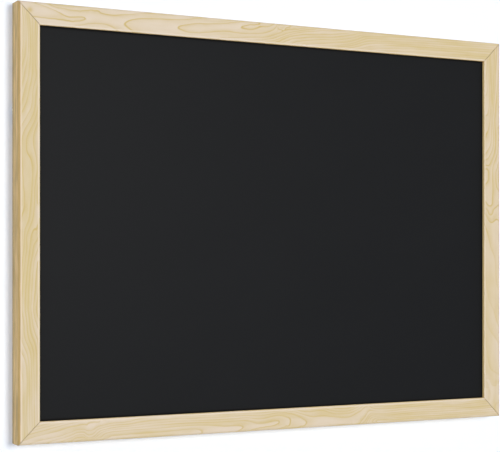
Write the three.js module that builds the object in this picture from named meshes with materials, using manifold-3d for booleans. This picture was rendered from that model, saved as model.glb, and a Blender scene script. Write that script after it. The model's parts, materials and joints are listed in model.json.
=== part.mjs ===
// Wall chalkboard: a pine frame with mitred corners round a black writing panel.
//
// Millimetres. +Z is up, +Y points into the wall, and the writing face looks along -Y.
// The origin lies on the wall, behind the centre of the board.
//
// The frame is four rebated bars. Each bar is drawn in its own axes: x runs in from
// the board's outer edge, y runs back from the front face, and z runs along the bar
// from its middle. Turning that drawing about Y gives the four sides.

import * as THREE from 'three';
import { mergeVertices } from 'three/addons/utils/BufferGeometryUtils.js';
import Module from 'manifold-3d';

const wasm = await Module();
wasm.setup();

// Board
const boardWidth = 600;
const boardHeight = 450;

// Frame bar, one section for all four sides
const barWidth = 23;
const barDepth = 20;
const lipDepth = 3.4;          // wood in front of the writing panel
const rebateWidth = 7;         // how far the lip reaches over the panel
const backRecess = 3.5;        // from the back of the frame in to the back panel
const outerRadius = 2;         // eased outer front edge
const sightRadius = 0.3;       // eased inner front edge
const backChamfer = 0.6;
const mitreGap = 0.3;          // the fine line where two bars meet

// Panels, stacked from the lip towards the back. A soft core fills what is left
// between the writing panel and the back panel.
const writingThickness = 3;
const backThickness = 2.5;
const panelClearance = 1;      // round the panels' edges
const seatGap = 0.2;           // between faces that rest on each other

// V-nails that hold each mitre, driven in from the back
const nailHeight = 10;
const nailThickness = 0.6;
const nailLeg = 4;
const nailSink = 0.3;
const nailClearance = 0.2;
const outerNailInset = 6.5;    // from the board's outer edge to the nail's corner
const innerNailInset = 12.5;

// Flat steel points that hold the panels in the rebate
const pointThickness = 0.5;
const pointWidth = 8;
const pointEmbed = 5.5;
const pointReach = 8;
const pointTip = 2.5;
const pointClearance = 0.2;
const pointEndDistance = 60;   // from a bar's end to its first point
const railPoints = 4;
const stilePoints = 3;

// D-ring hangers on the back of the stiles
const hangerDrop = 105;        // from the board's top edge to the ring's pivot
const strapWidth = 8;
const strapThickness = 0.7;
const strapEnd = 4.5;          // from the last screw to the strap's end
const curlDegrees = 285;
const ringWire = 1.8;
const ringClearance = 0.25;    // between the wire and the curl
const ringEyeWidth = 12;
const ringArm = 4;             // straight part of the ring's side
const ringCornerRadius = 1.6;
const ringButtGap = 0.4;       // where the bent wire's ends meet, inside the curl
const ringHeadGap = 1.4;       // between the hanging ring and the first screw's head
const screwPitch = 7.5;        // between the two screws of a strap

// Pan-head wood screws
const screwDiameter = 3;
const screwCoreDiameter = 2.1;
const screwLength = 12;
const screwTip = 3;
const plainShank = 1.2;
const threadPitch = 1.5;
const headDiameter = 5.6;
const headRim = 0.7;
const headHeight = 1.8;
const recessLength = 2.8;
const recessWidth = 0.75;
const recessDepth = 1.1;
const screwClearance = 0.2;

// Rubber pads that keep the board off the wall
const padDiameter = 10;
const padHeight = 4;
const padBevel = 0.7;
const padEndDistance = 48;     // from a rail's end to the pad's centre

// Every cut runs past the face that it opens by this much
const overrun = 1;

// Mesh fineness. An arc in an outline is drawn in twice its number of steps.
const arcSteps = 3;
const curlSteps = 12;
const wireArcSteps = 4;
const wireSteps = 44;
const roundSides = 24;
const screwSides = 10;
const threadStepsPerTurn = 4;
const headSteps = 4;

// Places worked out from the sizes above
const backPlane = -padHeight;
const frontPlane = backPlane - barDepth;
const rebateWall = barWidth - rebateWidth;
const backFaceCentre = rebateWall / 2;
const mitreSetback = mitreGap / Math.SQRT2;
const writingFront = lipDepth + seatGap;
const coreFront = writingFront + writingThickness + seatGap;
const backFront = barDepth - backRecess - backThickness;
const coreThickness = backFront - seatGap - coreFront;
const pointFront = backFront + backThickness + seatGap;
const panelInset = rebateWall + panelClearance;
const wireRadius = ringWire / 2;
const curlInner = wireRadius + ringClearance;
const curlOuter = curlInner + strapThickness;
const hangerX = boardWidth / 2 - backFaceCentre;
const hangerZ = boardHeight / 2 - hangerDrop;
const ringHalf = ringEyeWidth / 2 + wireRadius;
const ringReach = ringArm + ringHalf + wireRadius;
const upperScrewDrop = ringReach + ringHeadGap + headDiameter / 2;
const lowerScrewDrop = upperScrewDrop + screwPitch;
const screwDrops = [upperScrewDrop, lowerScrewDrop];
const strapLength = lowerScrewDrop + strapEnd;
const nailInsets = { outer: outerNailInset, inner: innerNailInset };

function material(name, color, roughness, metalness) {
  const made = new THREE.MeshStandardMaterial({ color, roughness, metalness });
  made.name = name;
  return made;
}

const pine = material('pine', 0xdccba7, 0.6, 0);
const chalkLacquer = material('chalk_lacquer', 0x26282a, 0.75, 0);
const softboard = material('softboard', 0xa89a80, 0.95, 0);
const hardboard = material('hardboard', 0x7a5636, 0.85, 0);
const zincSteel = material('zinc_steel', 0xb9bcbf, 0.35, 1);
const nickelSteel = material('nickel_steel', 0xc8c6c0, 0.25, 1);
const rubber = material('rubber', 0x2b2b2b, 0.9, 0);

// Joins and cuts

function toSolid(geometry) {
  const bare = geometry.clone();
  bare.deleteAttribute('normal');
  bare.deleteAttribute('uv');
  const merged = mergeVertices(bare);
  return new wasm.Manifold(new wasm.Mesh({
    numProp: 3,
    vertProperties: merged.attributes.position.array,
    triVerts: new Uint32Array(merged.index.array),
  }));
}

function toGeometry(solid) {
  const { vertProperties, triVerts } = solid.getMesh();
  const geometry = new THREE.BufferGeometry();
  geometry.setAttribute('position', new THREE.BufferAttribute(vertProperties, 3));
  geometry.setIndex(new THREE.BufferAttribute(triVerts, 1));
  geometry.computeVertexNormals();
  return geometry;
}

function cutAway(geometry, cutters) {
  const left = cutters.reduce((solid, cutter) => solid.subtract(toSolid(cutter)), toSolid(geometry));
  return toGeometry(left);
}

function boxBetween(low, high) {
  const size = high.map((value, axis) => value - low[axis]);
  const middle = high.map((value, axis) => (value + low[axis]) / 2);
  return new THREE.BoxGeometry(...size).translate(...middle);
}

// A flat plate: the outline's x and y become x and z, and it grows along +y.
function plate(outline, thickness) {
  return new THREE.ExtrudeGeometry(outline, {
    depth: thickness, bevelEnabled: false, curveSegments: arcSteps * 2,
  }).rotateX(Math.PI / 2).translate(0, thickness, 0);
}

function outlineOf(points) {
  return new THREE.Shape(points.map(([x, y]) => new THREE.Vector2(x, y)));
}

// Frame bars

function barSection() {
  const section = new THREE.Shape();
  section.moveTo(outerRadius, 0);
  section.absarc(barWidth - sightRadius, sightRadius, sightRadius, -Math.PI / 2, 0);
  section.lineTo(barWidth, lipDepth);
  section.lineTo(rebateWall, lipDepth);
  section.lineTo(rebateWall, barDepth);
  section.lineTo(backChamfer, barDepth);
  section.lineTo(0, barDepth - backChamfer);
  section.absarc(outerRadius, outerRadius, outerRadius, Math.PI, 1.5 * Math.PI);
  return section;
}

// The section is drawn out to a unit length, and each of its lines is then run to
// the two mitre planes, so that both ends slope at 45 degrees.
function mitredBar(length) {
  const geometry = new THREE.ExtrudeGeometry(barSection(), {
    depth: 1, bevelEnabled: false, curveSegments: arcSteps,
  });
  const place = geometry.attributes.position;
  for (let i = 0; i < place.count; i += 1) {
    const halfRun = length / 2 - place.getX(i) - mitreSetback;
    place.setZ(i, halfRun * (2 * place.getZ(i) - 1));
  }
  return geometry;
}

function nailSlots(length) {
  const half = nailThickness / 2 + nailClearance;
  const floor = barDepth - nailSink - nailHeight - nailClearance;
  return Object.values(nailInsets).flatMap((inset) => [-1, 1].map((end) => {
    const along = end * (length / 2 - inset);
    return boxBetween(
      [inset - nailLeg - nailClearance, floor, along - half],
      [inset + half, barDepth + overrun, along + half],
    );
  }));
}

function pointOutline(grow) {
  const side = pointWidth / 2 + grow;
  const tip = -pointEmbed - grow;
  return outlineOf([
    [pointReach, -side], [pointReach, side], [tip + pointTip, side], [tip, 0], [tip + pointTip, -side],
  ]);
}

function pointPlaces(length, count) {
  const run = length - 2 * pointEndDistance;
  return Array.from({ length: count }, (_, i) => (i / (count - 1) - 0.5) * run);
}

function pointSlots(places) {
  const thickness = pointThickness + 2 * pointClearance;
  return places.map((along) => plate(pointOutline(pointClearance), thickness)
    .translate(rebateWall, pointFront - pointClearance, along));
}

// Holes for the hanger screws. up is 1 where the bar's z runs up the board, or -1.
function screwHoles(up) {
  const radius = screwDiameter / 2 + screwClearance;
  const depth = screwLength - strapThickness + screwClearance;
  return screwDrops.map((drop) => new THREE.CylinderGeometry(radius, radius, depth + overrun, roundSides)
    .translate(backFaceCentre, barDepth - (depth - overrun) / 2, up * (hangerZ - drop)));
}

// Fasteners in the frame

function vNail() {
  const half = nailThickness / 2;
  return plate(outlineOf([
    [-nailLeg, -half], [half, -half], [half, nailLeg], [-half, nailLeg], [-half, half], [-nailLeg, half],
  ]), nailHeight);
}

function panelPoint() {
  return plate(pointOutline(0), pointThickness);
}

// Wood screw along y: its head sits on y = 0, and its tip points to -y.
function woodScrew() {
  const coreRadius = screwCoreDiameter / 2;
  const headRadius = headDiameter / 2;
  const threadTop = -plainShank;
  const threadRun = screwLength - plainShank;
  const steps = Math.ceil((threadRun / threadPitch) * threadStepsPerTurn);
  const profile = [new THREE.Vector2(0, -screwLength)];
  for (let i = 1; i <= steps; i += 1) {
    const y = -screwLength + (threadRun * i) / steps;
    const taper = Math.min(1, (y + screwLength) / screwTip);
    profile.push(new THREE.Vector2(coreRadius * taper, y));
  }
  profile.push(new THREE.Vector2(coreRadius, 0));
  profile.push(new THREE.Vector2(headRadius, 0));
  profile.push(new THREE.Vector2(headRadius, headRim));
  for (let i = 1; i < headSteps; i += 1) {
    const turn = (Math.PI / 2) * (i / headSteps);
    profile.push(new THREE.Vector2(
      headRadius * Math.cos(turn),
      headRim + (headHeight - headRim) * Math.sin(turn),
    ));
  }
  profile.push(new THREE.Vector2(0, headHeight));
  const geometry = new THREE.LatheGeometry(profile, screwSides);

  // The core is swelled to a thread whose ridge climbs one pitch in each turn.
  const ridge = (screwDiameter - screwCoreDiameter) / 2;
  const place = geometry.attributes.position;
  for (let i = 0; i < place.count; i += 1) {
    const [x, y, z] = [place.getX(i), place.getY(i), place.getZ(i)];
    const radius = Math.hypot(x, z);
    if (y >= threadTop || radius === 0) continue;
    const phase = Math.atan2(x, z) / (2 * Math.PI) - y / threadPitch;
    const height = 1 - Math.abs(2 * (phase - Math.floor(phase)) - 1);
    const fade = Math.min(1, (threadTop - y) / threadPitch);
    const swell = 1 + (ridge * height * fade) / coreRadius;
    place.setX(i, x * swell);
    place.setZ(i, z * swell);
  }

  // Cross recess
  const halfLength = recessLength / 2;
  const halfWidth = recessWidth / 2;
  const floor = headHeight - recessDepth;
  const top = headHeight + overrun;
  return cutAway(geometry, [
    boxBetween([-halfLength, floor, -halfWidth], [halfLength, top, halfWidth]),
    boxBetween([-halfWidth, floor, -halfLength], [halfWidth, top, halfLength]),
  ]);
}

// D-ring hanger, drawn about the ring's pivot

// Strip steel that lies on the wood and curls round the ring's straight side. The
// side view is drawn with x down the strap and y off the wood.
function hangerStrap() {
  const start = -Math.PI / 2;
  const end = start - THREE.MathUtils.degToRad(curlDegrees);
  const side = new THREE.Shape();
  side.moveTo(strapLength, 0);
  side.absarc(0, curlOuter, curlOuter, start, end, true);
  side.absarc(0, curlOuter, curlInner, end, start, false);
  side.lineTo(strapLength, strapThickness);
  const strip = new THREE.ExtrudeGeometry(side, {
    depth: strapWidth, bevelEnabled: false, curveSegments: curlSteps,
  }).rotateY(Math.PI / 2).translate(-strapWidth / 2, 0, 0);

  const halfWidth = strapWidth / 2;
  const plan = new THREE.Shape();
  plan.moveTo(halfWidth, curlOuter + overrun);
  plan.lineTo(-halfWidth, curlOuter + overrun);
  plan.absarc(0, halfWidth - strapLength, halfWidth, Math.PI, 2 * Math.PI);
  const rounded = toSolid(strip).intersect(toSolid(
    plate(plan, 2 * curlOuter + 2 * overrun).translate(0, -overrun, 0),
  ));
  const holeRadius = screwDiameter / 2 + screwClearance;
  const holeLength = strapThickness + 2 * overrun;
  return cutAway(toGeometry(rounded), screwDrops.map((drop) => (
    new THREE.CylinderGeometry(holeRadius, holeRadius, holeLength, roundSides)
      .translate(0, strapThickness / 2, -drop)
  )));
}

class RingLine extends THREE.Curve {
  constructor(path) {
    super();
    this.path = path;
  }

  getPoint(t) {
    const { x, y } = this.path.getPoint(t);
    return new THREE.Vector3(x, 0, -y);
  }
}

// One bent wire: half the bar, round the D, and back to the bar's middle.
function hangerRing() {
  const corner = ringHalf - ringCornerRadius;
  const path = new THREE.Path();
  path.moveTo(ringButtGap / 2, 0);
  path.lineTo(corner, 0);
  path.absarc(corner, ringCornerRadius, ringCornerRadius, -Math.PI / 2, 0);
  path.lineTo(ringHalf, ringArm);
  path.absarc(0, ringArm, ringHalf, 0, Math.PI);
  path.lineTo(-ringHalf, ringCornerRadius);
  path.absarc(-corner, ringCornerRadius, ringCornerRadius, Math.PI, 1.5 * Math.PI);
  path.lineTo(-ringButtGap / 2, 0);
  const wire = new THREE.Shape();
  wire.absarc(0, 0, wireRadius, 0, 2 * Math.PI);
  return new THREE.ExtrudeGeometry(wire, {
    steps: wireSteps, curveSegments: wireArcSteps, extrudePath: new RingLine(path),
  });
}

function wallPad() {
  const radius = padDiameter / 2;
  const profile = [
    [0, seatGap], [radius, seatGap], [radius, padHeight - padBevel],
    [radius - padBevel, padHeight], [0, padHeight],
  ].map(([x, y]) => new THREE.Vector2(x, y));
  return new THREE.LatheGeometry(profile, roundSides);
}

// Assembly

const board = new THREE.Group();

function add(parent, name, geometry, finish, [x, y, z] = [0, 0, 0]) {
  const mesh = new THREE.Mesh(geometry, finish);
  mesh.name = name;
  mesh.position.set(x, y, z);
  parent.add(mesh);
  return mesh;
}

// Each bar's group carries the nails of the corner at its far end, and its points.
function addBar({ name, side, corner, length, outerEdge, turn, points, holes }) {
  const group = new THREE.Group();
  group.rotation.y = turn;
  group.position.set(outerEdge[0], frontPlane, outerEdge[1]);
  board.add(group);
  const places = pointPlaces(length, points);
  const cutters = [...nailSlots(length), ...pointSlots(places), ...holes];
  add(group, name, cutAway(mitredBar(length), cutters), pine);
  for (const [which, inset] of Object.entries(nailInsets)) {
    const nailFront = barDepth - nailSink - nailHeight;
    add(group, `v_nail_${corner}_${which}`, vNail(), zincSteel, [inset, nailFront, length / 2 - inset]);
  }
  places.forEach((along, i) => {
    add(group, `panel_point_${side}_${i + 1}`, panelPoint(), zincSteel, [rebateWall, pointFront, along]);
  });
}

addBar({
  name: 'left_stile', side: 'left', corner: 'top_left', length: boardHeight,
  outerEdge: [-boardWidth / 2, 0], turn: 0, points: stilePoints, holes: screwHoles(1),
});
addBar({
  name: 'top_rail', side: 'top', corner: 'top_right', length: boardWidth,
  outerEdge: [0, boardHeight / 2], turn: Math.PI / 2, points: railPoints, holes: [],
});
addBar({
  name: 'right_stile', side: 'right', corner: 'bottom_right', length: boardHeight,
  outerEdge: [boardWidth / 2, 0], turn: Math.PI, points: stilePoints, holes: screwHoles(-1),
});
addBar({
  name: 'bottom_rail', side: 'bottom', corner: 'bottom_left', length: boardWidth,
  outerEdge: [0, -boardHeight / 2], turn: -Math.PI / 2, points: railPoints, holes: [],
});

function addPanel(name, front, thickness, finish) {
  const width = boardWidth - 2 * panelInset;
  const height = boardHeight - 2 * panelInset;
  const middle = frontPlane + front + thickness / 2;
  add(board, name, new THREE.BoxGeometry(width, thickness, height), finish, [0, middle, 0]);
}

addPanel('writing_panel', writingFront, writingThickness, chalkLacquer);
addPanel('core_board', coreFront, coreThickness, softboard);
addPanel('back_panel', backFront, backThickness, hardboard);

function addHanger(side, x) {
  const group = new THREE.Group();
  group.position.set(x, backPlane + seatGap, hangerZ);
  board.add(group);
  add(group, `hanger_strap_${side}`, hangerStrap(), zincSteel);
  add(group, `hanger_ring_${side}`, hangerRing(), nickelSteel, [0, curlOuter, 0]);
  screwDrops.forEach((drop, i) => {
    const name = `hanger_screw_${side}_${['upper', 'lower'][i]}`;
    add(group, name, woodScrew(), zincSteel, [0, strapThickness + seatGap, -drop]);
  });
}

addHanger('left', -hangerX);
addHanger('right', hangerX);

for (const [level, up] of [['top', 1], ['bottom', -1]]) {
  for (const [side, across] of [['left', -1], ['right', 1]]) {
    add(board, `wall_pad_${level}_${side}`, wallPad(), rubber, [
      across * (boardWidth / 2 - padEndDistance), backPlane, up * (boardHeight / 2 - backFaceCentre),
    ]);
  }
}

export default board;
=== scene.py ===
"""A wall chalkboard: a mitred pine frame round a matt black writing panel, on a white wall.

Lengths are metres. A name that ends in MM holds millimetres, and MM itself turns them into metres.
"""

import json
import math

import bmesh
import bpy
import numpy
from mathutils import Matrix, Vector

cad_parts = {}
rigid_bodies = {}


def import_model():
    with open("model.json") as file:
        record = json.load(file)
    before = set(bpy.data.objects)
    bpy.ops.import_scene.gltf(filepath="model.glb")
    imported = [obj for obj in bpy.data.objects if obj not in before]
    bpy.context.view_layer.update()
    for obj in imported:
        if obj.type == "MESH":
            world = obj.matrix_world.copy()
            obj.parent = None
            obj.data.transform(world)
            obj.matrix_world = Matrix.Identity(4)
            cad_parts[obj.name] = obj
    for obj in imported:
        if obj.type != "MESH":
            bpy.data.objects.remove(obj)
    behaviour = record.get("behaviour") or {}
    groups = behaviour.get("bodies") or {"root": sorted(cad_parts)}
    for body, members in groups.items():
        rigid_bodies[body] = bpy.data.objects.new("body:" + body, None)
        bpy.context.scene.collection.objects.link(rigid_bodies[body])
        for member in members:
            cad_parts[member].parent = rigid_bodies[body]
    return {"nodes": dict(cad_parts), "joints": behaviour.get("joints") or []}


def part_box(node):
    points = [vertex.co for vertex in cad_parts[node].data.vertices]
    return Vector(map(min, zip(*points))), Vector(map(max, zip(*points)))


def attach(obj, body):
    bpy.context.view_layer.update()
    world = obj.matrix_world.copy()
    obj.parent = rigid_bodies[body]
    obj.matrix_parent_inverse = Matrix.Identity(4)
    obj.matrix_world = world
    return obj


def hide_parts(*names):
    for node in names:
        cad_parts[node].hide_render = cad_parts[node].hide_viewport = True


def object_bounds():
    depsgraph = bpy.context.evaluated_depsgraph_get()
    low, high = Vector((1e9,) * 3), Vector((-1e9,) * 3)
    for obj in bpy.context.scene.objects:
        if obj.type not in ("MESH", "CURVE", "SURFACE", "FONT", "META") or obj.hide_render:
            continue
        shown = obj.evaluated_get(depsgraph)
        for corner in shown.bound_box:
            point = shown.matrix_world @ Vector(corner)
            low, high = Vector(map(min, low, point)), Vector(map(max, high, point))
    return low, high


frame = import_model()
cad_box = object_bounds()
bpy.ops.object.select_all(action="DESELECT")

MM = 0.001

# Board, as the frame's own nodes give it
HALF_WIDTH = cad_box[1].x
HALF_HEIGHT = cad_box[1].z
FRONT = cad_box[0].y
rail_low, rail_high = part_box("top_rail")
BAR_WIDTH_MM = (rail_high.z - rail_low.z) / MM
BAR_DEPTH_MM = (rail_high.y - rail_low.y) / MM
EDGE_RADIUS_MM = 2.0           # of the bars' outer front edge

# Camera, fitted to the edges of the frame in the photograph
EYE = (-706.0 * MM, -1350.9 * MM, -41.5 * MM)
UPRIGHT = math.radians(90)
HEADING = math.radians(-26.727)
LENS_MM = 97.57
SHIFT_UP = 0.0762

# Stage
WALL_REACH = 4.0
WALL_TOP = 2.6
WALL_HOLE_INSET = 12 * MM      # the wall is open behind the board, so that its back can be lit
FLOOR_LEVEL = -1.2
FLOOR_REACH = 30.0
WALL_PAINT = (0.905, 0.925, 0.95, 1.0)
WALL_GLOW = (0.108, 0.118, 0.137, 1.0)
FLOOR_PAINT = (0.4, 0.4, 0.4, 1.0)
FLOOR_GLOW = (0.6, 0.6, 0.6, 1.0)
ROOM_LIGHT = (0.30, 0.35, 0.47, 1.0)
WHITE = (1.0, 1.0, 1.0, 1.0)

# Lamps: name, place, size, watts and colour
LAMPS = (
    ("key", (0.26, -3.0, 0.26), 0.85, 57.5, (1.0, 0.98, 0.94)),
    ("near_fill", (-5.0, -1.5, 0.2), 2.4, 63.0, (0.86, 0.94, 1.0)),
    ("far_fill", (5.0, -1.5, 0.4), 2.4, 18.0, (1.0, 1.0, 1.0)),
    ("back", (0.4, 2.5, 0.3), 1.4, 48.0, (1.0, 1.0, 1.0)),
)


# Shader nodes, written as sums and products

NOISE_MIDDLE = 0.5
MIX_SHARE = 0                  # places of the Mix node's sockets for colours, which share their names
MIX_FIRST = 6
MIX_SECOND = 7
MIX_RESULT = 2


class Number:
    """A number that varies over a surface: one output socket. Sums and products add Math nodes."""

    def __init__(self, tree, socket):
        self.tree = tree
        self.socket = socket

    def math(self, operation, *others):
        return self.tree.add("ShaderNodeMath", {"operation": operation}, [self, *others]).number(0)

    def __add__(self, other):
        return self.math("ADD", other)

    def __sub__(self, other):
        return self.math("SUBTRACT", other)

    def __mul__(self, other):
        return self.math("MULTIPLY", other)

    def __truediv__(self, other):
        return self.math("DIVIDE", other)

    def __pow__(self, other):
        return self.math("POWER", other)

    def __neg__(self):
        return self * -1.0

    __radd__ = __add__
    __rmul__ = __mul__

    def __rsub__(self, other):
        return -self + other

    def clamped(self):
        """The number, held between 0 and 1."""
        return self.math("MAXIMUM", 0.0).math("MINIMUM", 1.0)

    def spread(self, gain):
        """The number's distance from the middle of a noise, times a gain."""
        return (self - NOISE_MIDDLE) * gain

    def between(self, weakest, strongest):
        """The first value where the number is 0 and the second where it is 1, on a straight line."""
        return self * (strongest - weakest) + weakest

    def past(self, start, fade):
        """0 up to the start, and from there rising to 1 over the length of the fade."""
        return ((self - start) / fade).clamped()

    def hump(self, width):
        """1 where the number is 0, falling to nothing over about twice that width on each side."""
        return (-((self / width) ** 2.0)).math("EXPONENT")


class Node:
    """One shader node, whose outputs are read by name or place."""

    def __init__(self, tree, node):
        self.tree = tree
        self.node = node

    def number(self, output):
        return Number(self.tree, self.node.outputs[output])


class Tree:
    """The nodes of one material or of the world."""

    def __init__(self, owner):
        owner.use_nodes = True
        self.nodes = owner.node_tree.nodes
        self.links = owner.node_tree.links
        self.nodes.clear()

    def add(self, kind, settings, sockets):
        """Adds a node. Its settings are set first, then each socket gets its value or its link."""
        node = self.nodes.new(kind)
        for name, value in settings.items():
            if name == "points":
                set_points(node.mapping, value)
            else:
                setattr(node, name, value)
        pairs = sockets.items() if isinstance(sockets, dict) else enumerate(sockets)
        for name, value in pairs:
            if isinstance(value, Number):
                self.links.new(value.socket, node.inputs[name])
            else:
                node.inputs[name].default_value = value
        return Node(self, node)

    def coordinates(self):
        """Object coordinates along x, y and z, in millimetres."""
        place = self.add("ShaderNodeTexCoord", {}, {}).number("Object")
        split = self.add("ShaderNodeSeparateXYZ", {}, [place])
        return [split.number(axis) * (1 / MM) for axis in "XYZ"]

    def scaled(self, axes, lengths):
        """A vector that has the axes, each divided by its length."""
        parts = [axis / length for axis, length in zip(axes, lengths)]
        return self.add("ShaderNodeCombineXYZ", {}, parts).number(0)

    def noise(self, axes, lengths, detail=2.0, roughness=0.5):
        """Noise about 0.5, with shapes of about these lengths along the axes."""
        return self.add("ShaderNodeTexNoise", {"noise_dimensions": "3D"}, {
            "Vector": self.scaled(axes, lengths), "Scale": 1.0, "Detail": detail, "Roughness": roughness,
        }).number(0)

    def cells(self, axes, lengths):
        """A random grey for each cell. The cells are about these lengths along the axes."""
        made = self.add("ShaderNodeTexVoronoi", {}, {"Vector": self.scaled(axes, lengths), "Scale": 1.0})
        return self.add("ShaderNodeSeparateColor", {}, [made.number("Color")]).number(0)

    def curve(self, value, points):
        """A smooth curve through the points, read at a value between 0 and 1."""
        return self.add("ShaderNodeFloatCurve", {"points": points}, {"Value": value}).number(0)

    def mix(self, share, first, second):
        """A blend of two colours. The node itself holds the share between 0 and 1."""
        sockets = {MIX_SHARE: share, MIX_FIRST: first, MIX_SECOND: second}
        return self.add("ShaderNodeMix", {"data_type": "RGBA"}, sockets).number(MIX_RESULT)

    def bump(self, height, depth):
        """A bump whose height of 1 stands that many metres out."""
        return self.add("ShaderNodeBump", {}, {"Height": height, "Distance": depth}).number("Normal")

    def finish(self, shader):
        self.add("ShaderNodeOutputMaterial", {}, {"Surface": shader})

    def surface(self, **sockets):
        """The finished shader of a material. A space in a socket's name is written as an underscore."""
        named = {name.replace("_", " "): value for name, value in sockets.items()}
        self.finish(self.add("ShaderNodeBsdfPrincipled", {}, named).number(0))


def set_points(mapping, points):
    mapping.use_clip = False
    curve = mapping.curves[0]
    while len(curve.points) < len(points):
        curve.points.new(0.5, 0.0)
    for point, place in zip(curve.points, points):
        point.location = place
        point.handle_type = "AUTO_CLAMPED"
    mapping.update()


def new_material(name):
    material = bpy.data.materials.new(name)
    return material, Tree(material)


def dress(node, material):
    mesh = frame["nodes"][node].data
    mesh.materials.clear()
    mesh.materials.append(material)


# Pine
#
# The rings of each bar, as they lie on its face: a count, and points in millimetres along the bar
# and across it from the board's edge. The rails run from the left and the stiles from the top.

TOP_RAIL_RINGS = (
    (0, [(18, 1.5), (30, 4), (40, 7.5), (50, 11.5), (56, 13), (62, 12), (68, 11.5), (73, 12.8),
        (70, 14.5), (62, 16.8), (56, 17), (48, 15.8), (35, 16), (22, 15.5)]),
    (0, [(210, 0.3), (200, 1.5), (185, 4.5), (170, 5.7), (150, 6.5), (135, 7.5), (126, 9), (119, 11.5),
        (115, 15), (118, 18), (122, 20.5), (126, 22.5)]),
    (1, [(255, 1), (245, 2.5), (235, 4.2), (225, 6), (215, 7.2), (200, 7.5), (190, 9), (180, 11.5),
        (175, 13.8), (180, 16), (188, 18.3), (198, 18.2), (210, 16.5), (220, 14.7), (233, 13.5),
        (245, 14.3), (258, 14.5), (270, 13.3), (280, 11.8), (288, 9.5), (293, 6), (297, 1)]),
    (2, [(253, 6.5), (257, 9), (262, 9.5), (268, 8), (275, 6.5), (278, 5), (275, 3.5), (268, 3.3),
        (260, 4.6), (253, 6.5)]),
    (0, [(314, 0.5), (307, 4), (303, 7.5), (300, 10.5), (292, 13), (284, 16), (275, 17.2), (262, 18),
        (250, 18.9), (240, 19.8), (230, 21.2), (222, 22.5)]),
    (-1, [(84, 3.5), (88, 5.5), (93, 6.4), (103, 7), (112, 5.5), (120, 4.5), (132, 2.6), (150, 1)]),
    (-1, [(62, 21.5), (72, 19), (80, 17.2), (92, 16.8), (98, 18), (103, 20), (107, 22)]),
    (-1, [(245, 23), (262, 21.3), (280, 19.5), (292, 17), (300, 13.5), (308, 10.5), (318, 7.5),
        (330, 5), (345, 2.5), (352, 1)]),
    (-2, [(275, 23), (290, 20), (300, 16), (308, 12), (315, 9.5), (330, 6.5), (345, 4.5), (360, 3.3),
        (375, 2), (385, 1)]),
    (-3, [(295, 21), (305, 17), (310, 14), (320, 12), (330, 10.5), (345, 9.3), (355, 8.8), (370, 7),
        (383, 5), (392, 3), (398, 1.5)]),
    (-4, [(302, 21.5), (308, 18.5), (320, 14.5), (335, 12.5), (350, 11), (370, 9.5), (385, 7.5),
        (395, 5), (403, 3), (412, 1.5)]),
    (-5, [(312, 21.5), (325, 17.5), (340, 15.3), (355, 14), (370, 12.7), (385, 10.5), (395, 8.2),
        (403, 5.3), (412, 3.5), (425, 2.2), (440, 1.5)]),
    (-6, [(326, 21.5), (345, 19), (360, 18), (375, 16), (385, 14.5), (393, 13), (400, 10.5), (405, 8),
        (412, 5.8), (420, 4.8), (440, 4), (460, 3.2), (480, 2.6), (500, 2.2), (560, 1)]),
    (-7, [(345, 22), (360, 20.3), (375, 18.4), (385, 17), (393, 15), (400, 12.5), (407, 10), (415, 8),
        (425, 7.4), (440, 6.9), (460, 6.1), (480, 5.5), (500, 5), (520, 4.6), (580, 3.4)]),
    (-8, [(362, 22.5), (380, 20), (392, 17.7), (402, 14.8), (412, 11.4), (425, 9.9), (445, 9.1),
        (480, 8.1), (520, 7.2), (580, 6.2)]),
    (-9, [(383, 22.5), (398, 19), (410, 15), (425, 12.6), (445, 11.6), (480, 10.6), (520, 9.8),
        (580, 9)]),
    (-10, [(395, 22.8), (405, 20.2), (415, 17.3), (430, 15.2), (450, 14.1), (480, 13.1), (520, 12.4),
        (580, 11.8)]),
    (-11, [(408, 22.5), (425, 18.8), (450, 17), (480, 15.9), (520, 15.1), (580, 14.7)]),
    (-12, [(430, 22), (450, 20.2), (480, 19), (520, 18.2), (580, 17.8)]),
    (-13, [(470, 22.3), (500, 21.7), (575, 21)]),
    (-0.55, [(93, 12), (80, 12.5)]),
    (-0.3, [(105, 13)]),
    (0.5, [(150, 14), (160, 13)]),
    (1.5, [(215, 11.5), (235, 9), (200, 13)]),
    (2.35, [(265, 6.3)]),
    (0.6, [(30, 11), (15, 9)]),
    (-1.6, [(60, 2), (40, 1.5)]),
    (-1.3, [(100, 2.5)]),
    (0.4, [(170, 21), (200, 21.5), (150, 20)]),
    (0.25, [(212, 22.5), (219, 21)]),
    (0.4, [(215, 2), (235, 1)]),
    (-1.5, [(362, 1.5), (370, 0.8)]),
    (-0.5, [(300, 2), (300, 5)]),
)
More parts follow.
